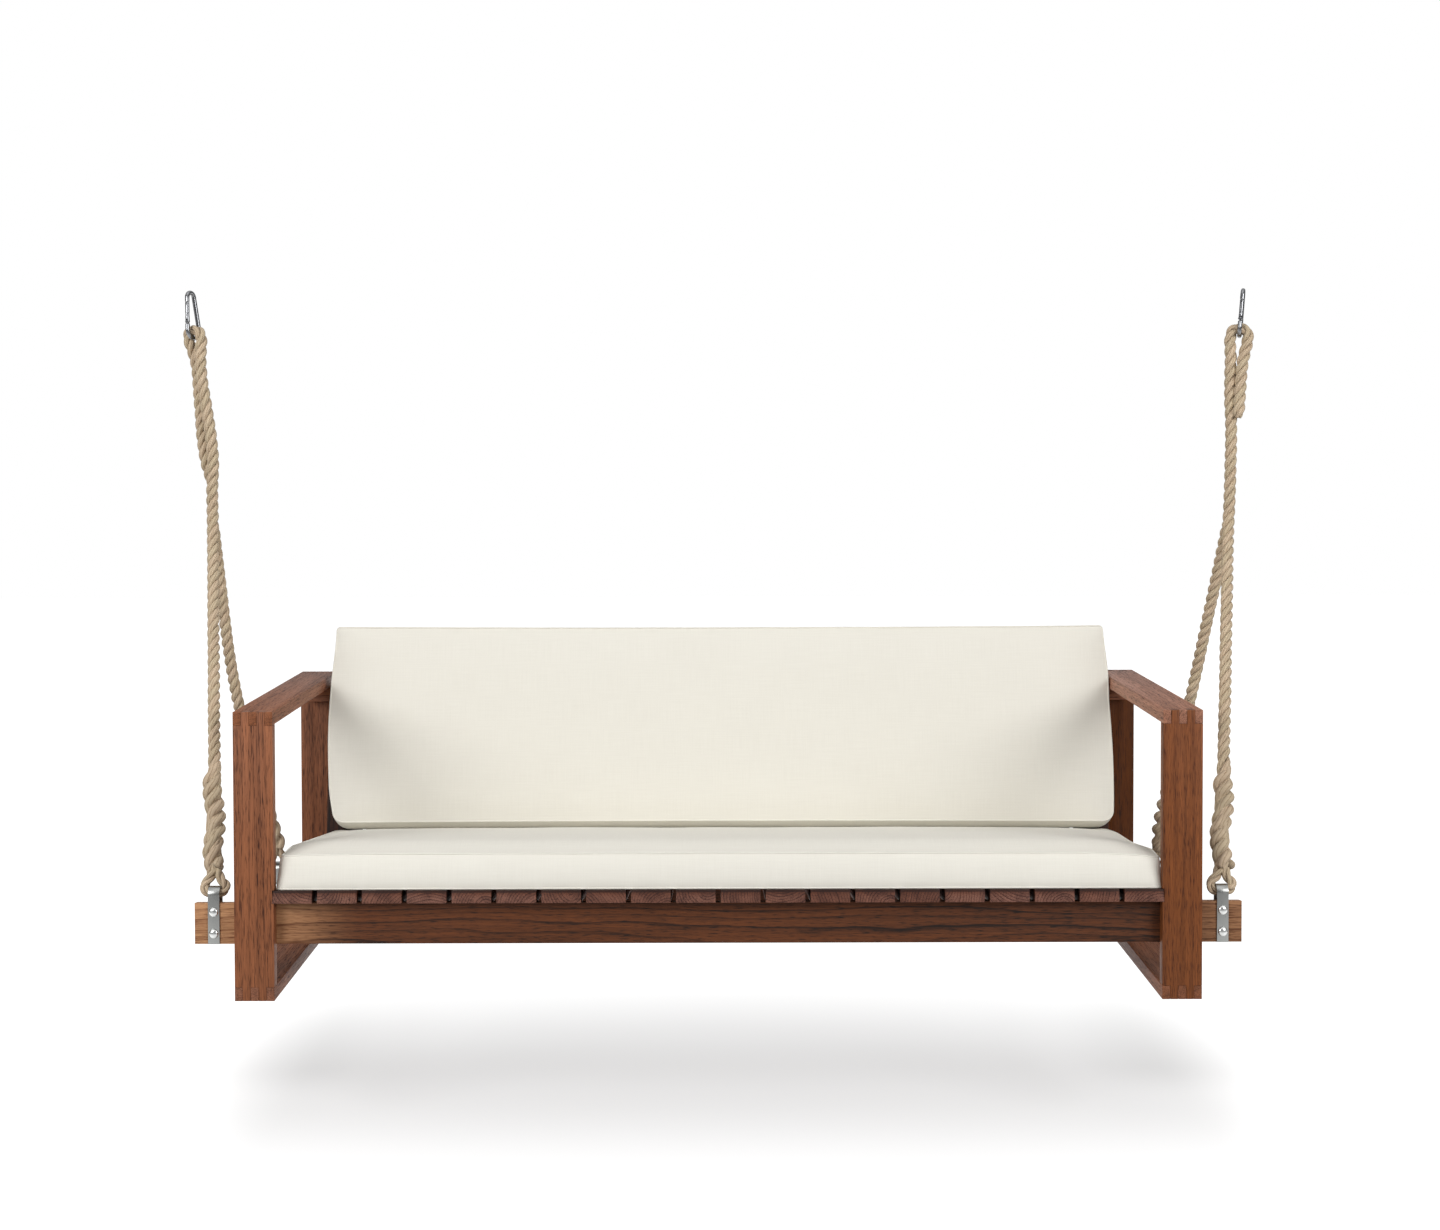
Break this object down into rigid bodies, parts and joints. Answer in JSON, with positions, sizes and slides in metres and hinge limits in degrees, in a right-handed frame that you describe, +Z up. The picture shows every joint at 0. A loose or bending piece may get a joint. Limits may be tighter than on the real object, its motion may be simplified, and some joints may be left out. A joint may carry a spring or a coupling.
{
  "type": "porch swing",
  "caption": "Hanging slatted wooden porch swing with box side frames, leaning back, two loose cushions and a rope bridle on a carabiner at each side.",
  "frame": {"origin": "midway between the two points where the ceiling hooks bear inside the carabiners' top bows, in line with them", "axes": "+X from the left side to the right side as seen from the front, +Y from the front to the back, +Z up"},
  "size_m": [2.4213, 0.8, 1.4963],
  "materials": {
    "frame_wood": "stained and oiled softwood, satin",
    "beam_wood": "darker stained softwood, satin",
    "slat_wood": "oiled reddish slats with open end grain",
    "cushion_canvas": "natural off-white canvas with piped seams",
    "rope": "three-strand natural fibre rope",
    "strap_steel": "plain zinc-plated steel",
    "carabiner_steel": "bright polished steel"
  },
  "bodies": {
    "hooks": {"carabiner_left": "carabiner_steel", "carabiner_right": "carabiner_steel", "carabiner_pin_left": "carabiner_steel", "carabiner_pin_right": "carabiner_steel"},
    "gate_left": {"carabiner_gate_left": "carabiner_steel"},
    "gate_right": {"carabiner_gate_right": "carabiner_steel"},
    "ropes": {"hanging_rope_left": "rope", "hanging_rope_right": "rope"},
    "seat": {"front_post_left": "frame_wood", "rear_post_left": "frame_wood", "armrest_left": "frame_wood", "bottom_rail_left": "frame_wood", "front_post_right": "frame_wood", "rear_post_right": "frame_wood", "armrest_right": "frame_wood", "bottom_rail_right": "frame_wood", "front_beam": "beam_wood", "rear_beam": "beam_wood", "seat_slat_01": "slat_wood", "seat_slat_02": "slat_wood", "seat_slat_03": "slat_wood", "seat_slat_04": "slat_wood", "seat_slat_05": "slat_wood", "seat_slat_06": "slat_wood", "seat_slat_07": "slat_wood", "seat_slat_08": "slat_wood", "seat_slat_09": "slat_wood", "seat_slat_10": "slat_wood", "seat_slat_11": "slat_wood", "seat_slat_12": "slat_wood", "seat_slat_13": "slat_wood", "seat_slat_14": "slat_wood", "seat_slat_15": "slat_wood", "seat_slat_16": "slat_wood", "seat_slat_17": "slat_wood", "seat_slat_18": "slat_wood", "seat_slat_19": "slat_wood", "seat_slat_20": "slat_wood", "back_top_rail": "frame_wood", "back_slat_panel": "slat_wood", "seat_cushion": "cushion_canvas", "back_cushion": "cushion_canvas", "rope_strap_front_left": "strap_steel", "strap_bolt_front_left_upper": "strap_steel", "strap_bolt_front_left_lower": "strap_steel", "rope_strap_front_right": "strap_steel", "strap_bolt_front_right_upper": "strap_steel", "strap_bolt_front_right_lower": "strap_steel", "rope_strap_rear_left": "strap_steel", "strap_bolt_rear_left_upper": "strap_steel", "strap_bolt_rear_left_lower": "strap_steel", "rope_strap_rear_right": "strap_steel", "strap_bolt_rear_right_upper": "strap_steel", "strap_bolt_rear_right_lower": "strap_steel", "front_rope_leg_left": "rope", "rear_rope_leg_left": "rope", "front_rope_leg_right": "rope", "rear_rope_leg_right": "rope"}
  },
  "joints": [
    {"name": "swing", "type": "hinge", "parent": "hooks", "child": "ropes", "pos_m": [0, 0, -0.08005], "axis": [1, 0, 0], "range_deg": [-20, 20]},
    {"name": "seat_rock", "type": "hinge", "parent": "ropes", "child": "seat", "pos_m": [0, 0, -0.515], "axis": [1, 0, 0], "range_deg": [-8, 8]},
    {"name": "left_gate", "type": "hinge", "parent": "hooks", "child": "gate_left", "pos_m": [-1.19092, -0.01638, -0.06026], "axis": [-0.9035, 0.4226, -0.0711], "range_deg": [0, 17], "stiffness_Nm_per_rad": 0.2, "springref_deg": -20.05},
    {"name": "right_gate", "type": "hinge", "parent": "hooks", "child": "gate_right", "pos_m": [1.17864, -0.01745, -0.0593], "axis": [-0.9629, 0.2588, 0.0758], "range_deg": [0, 17], "stiffness_Nm_per_rad": 0.2, "springref_deg": -20.05}
  ]
}
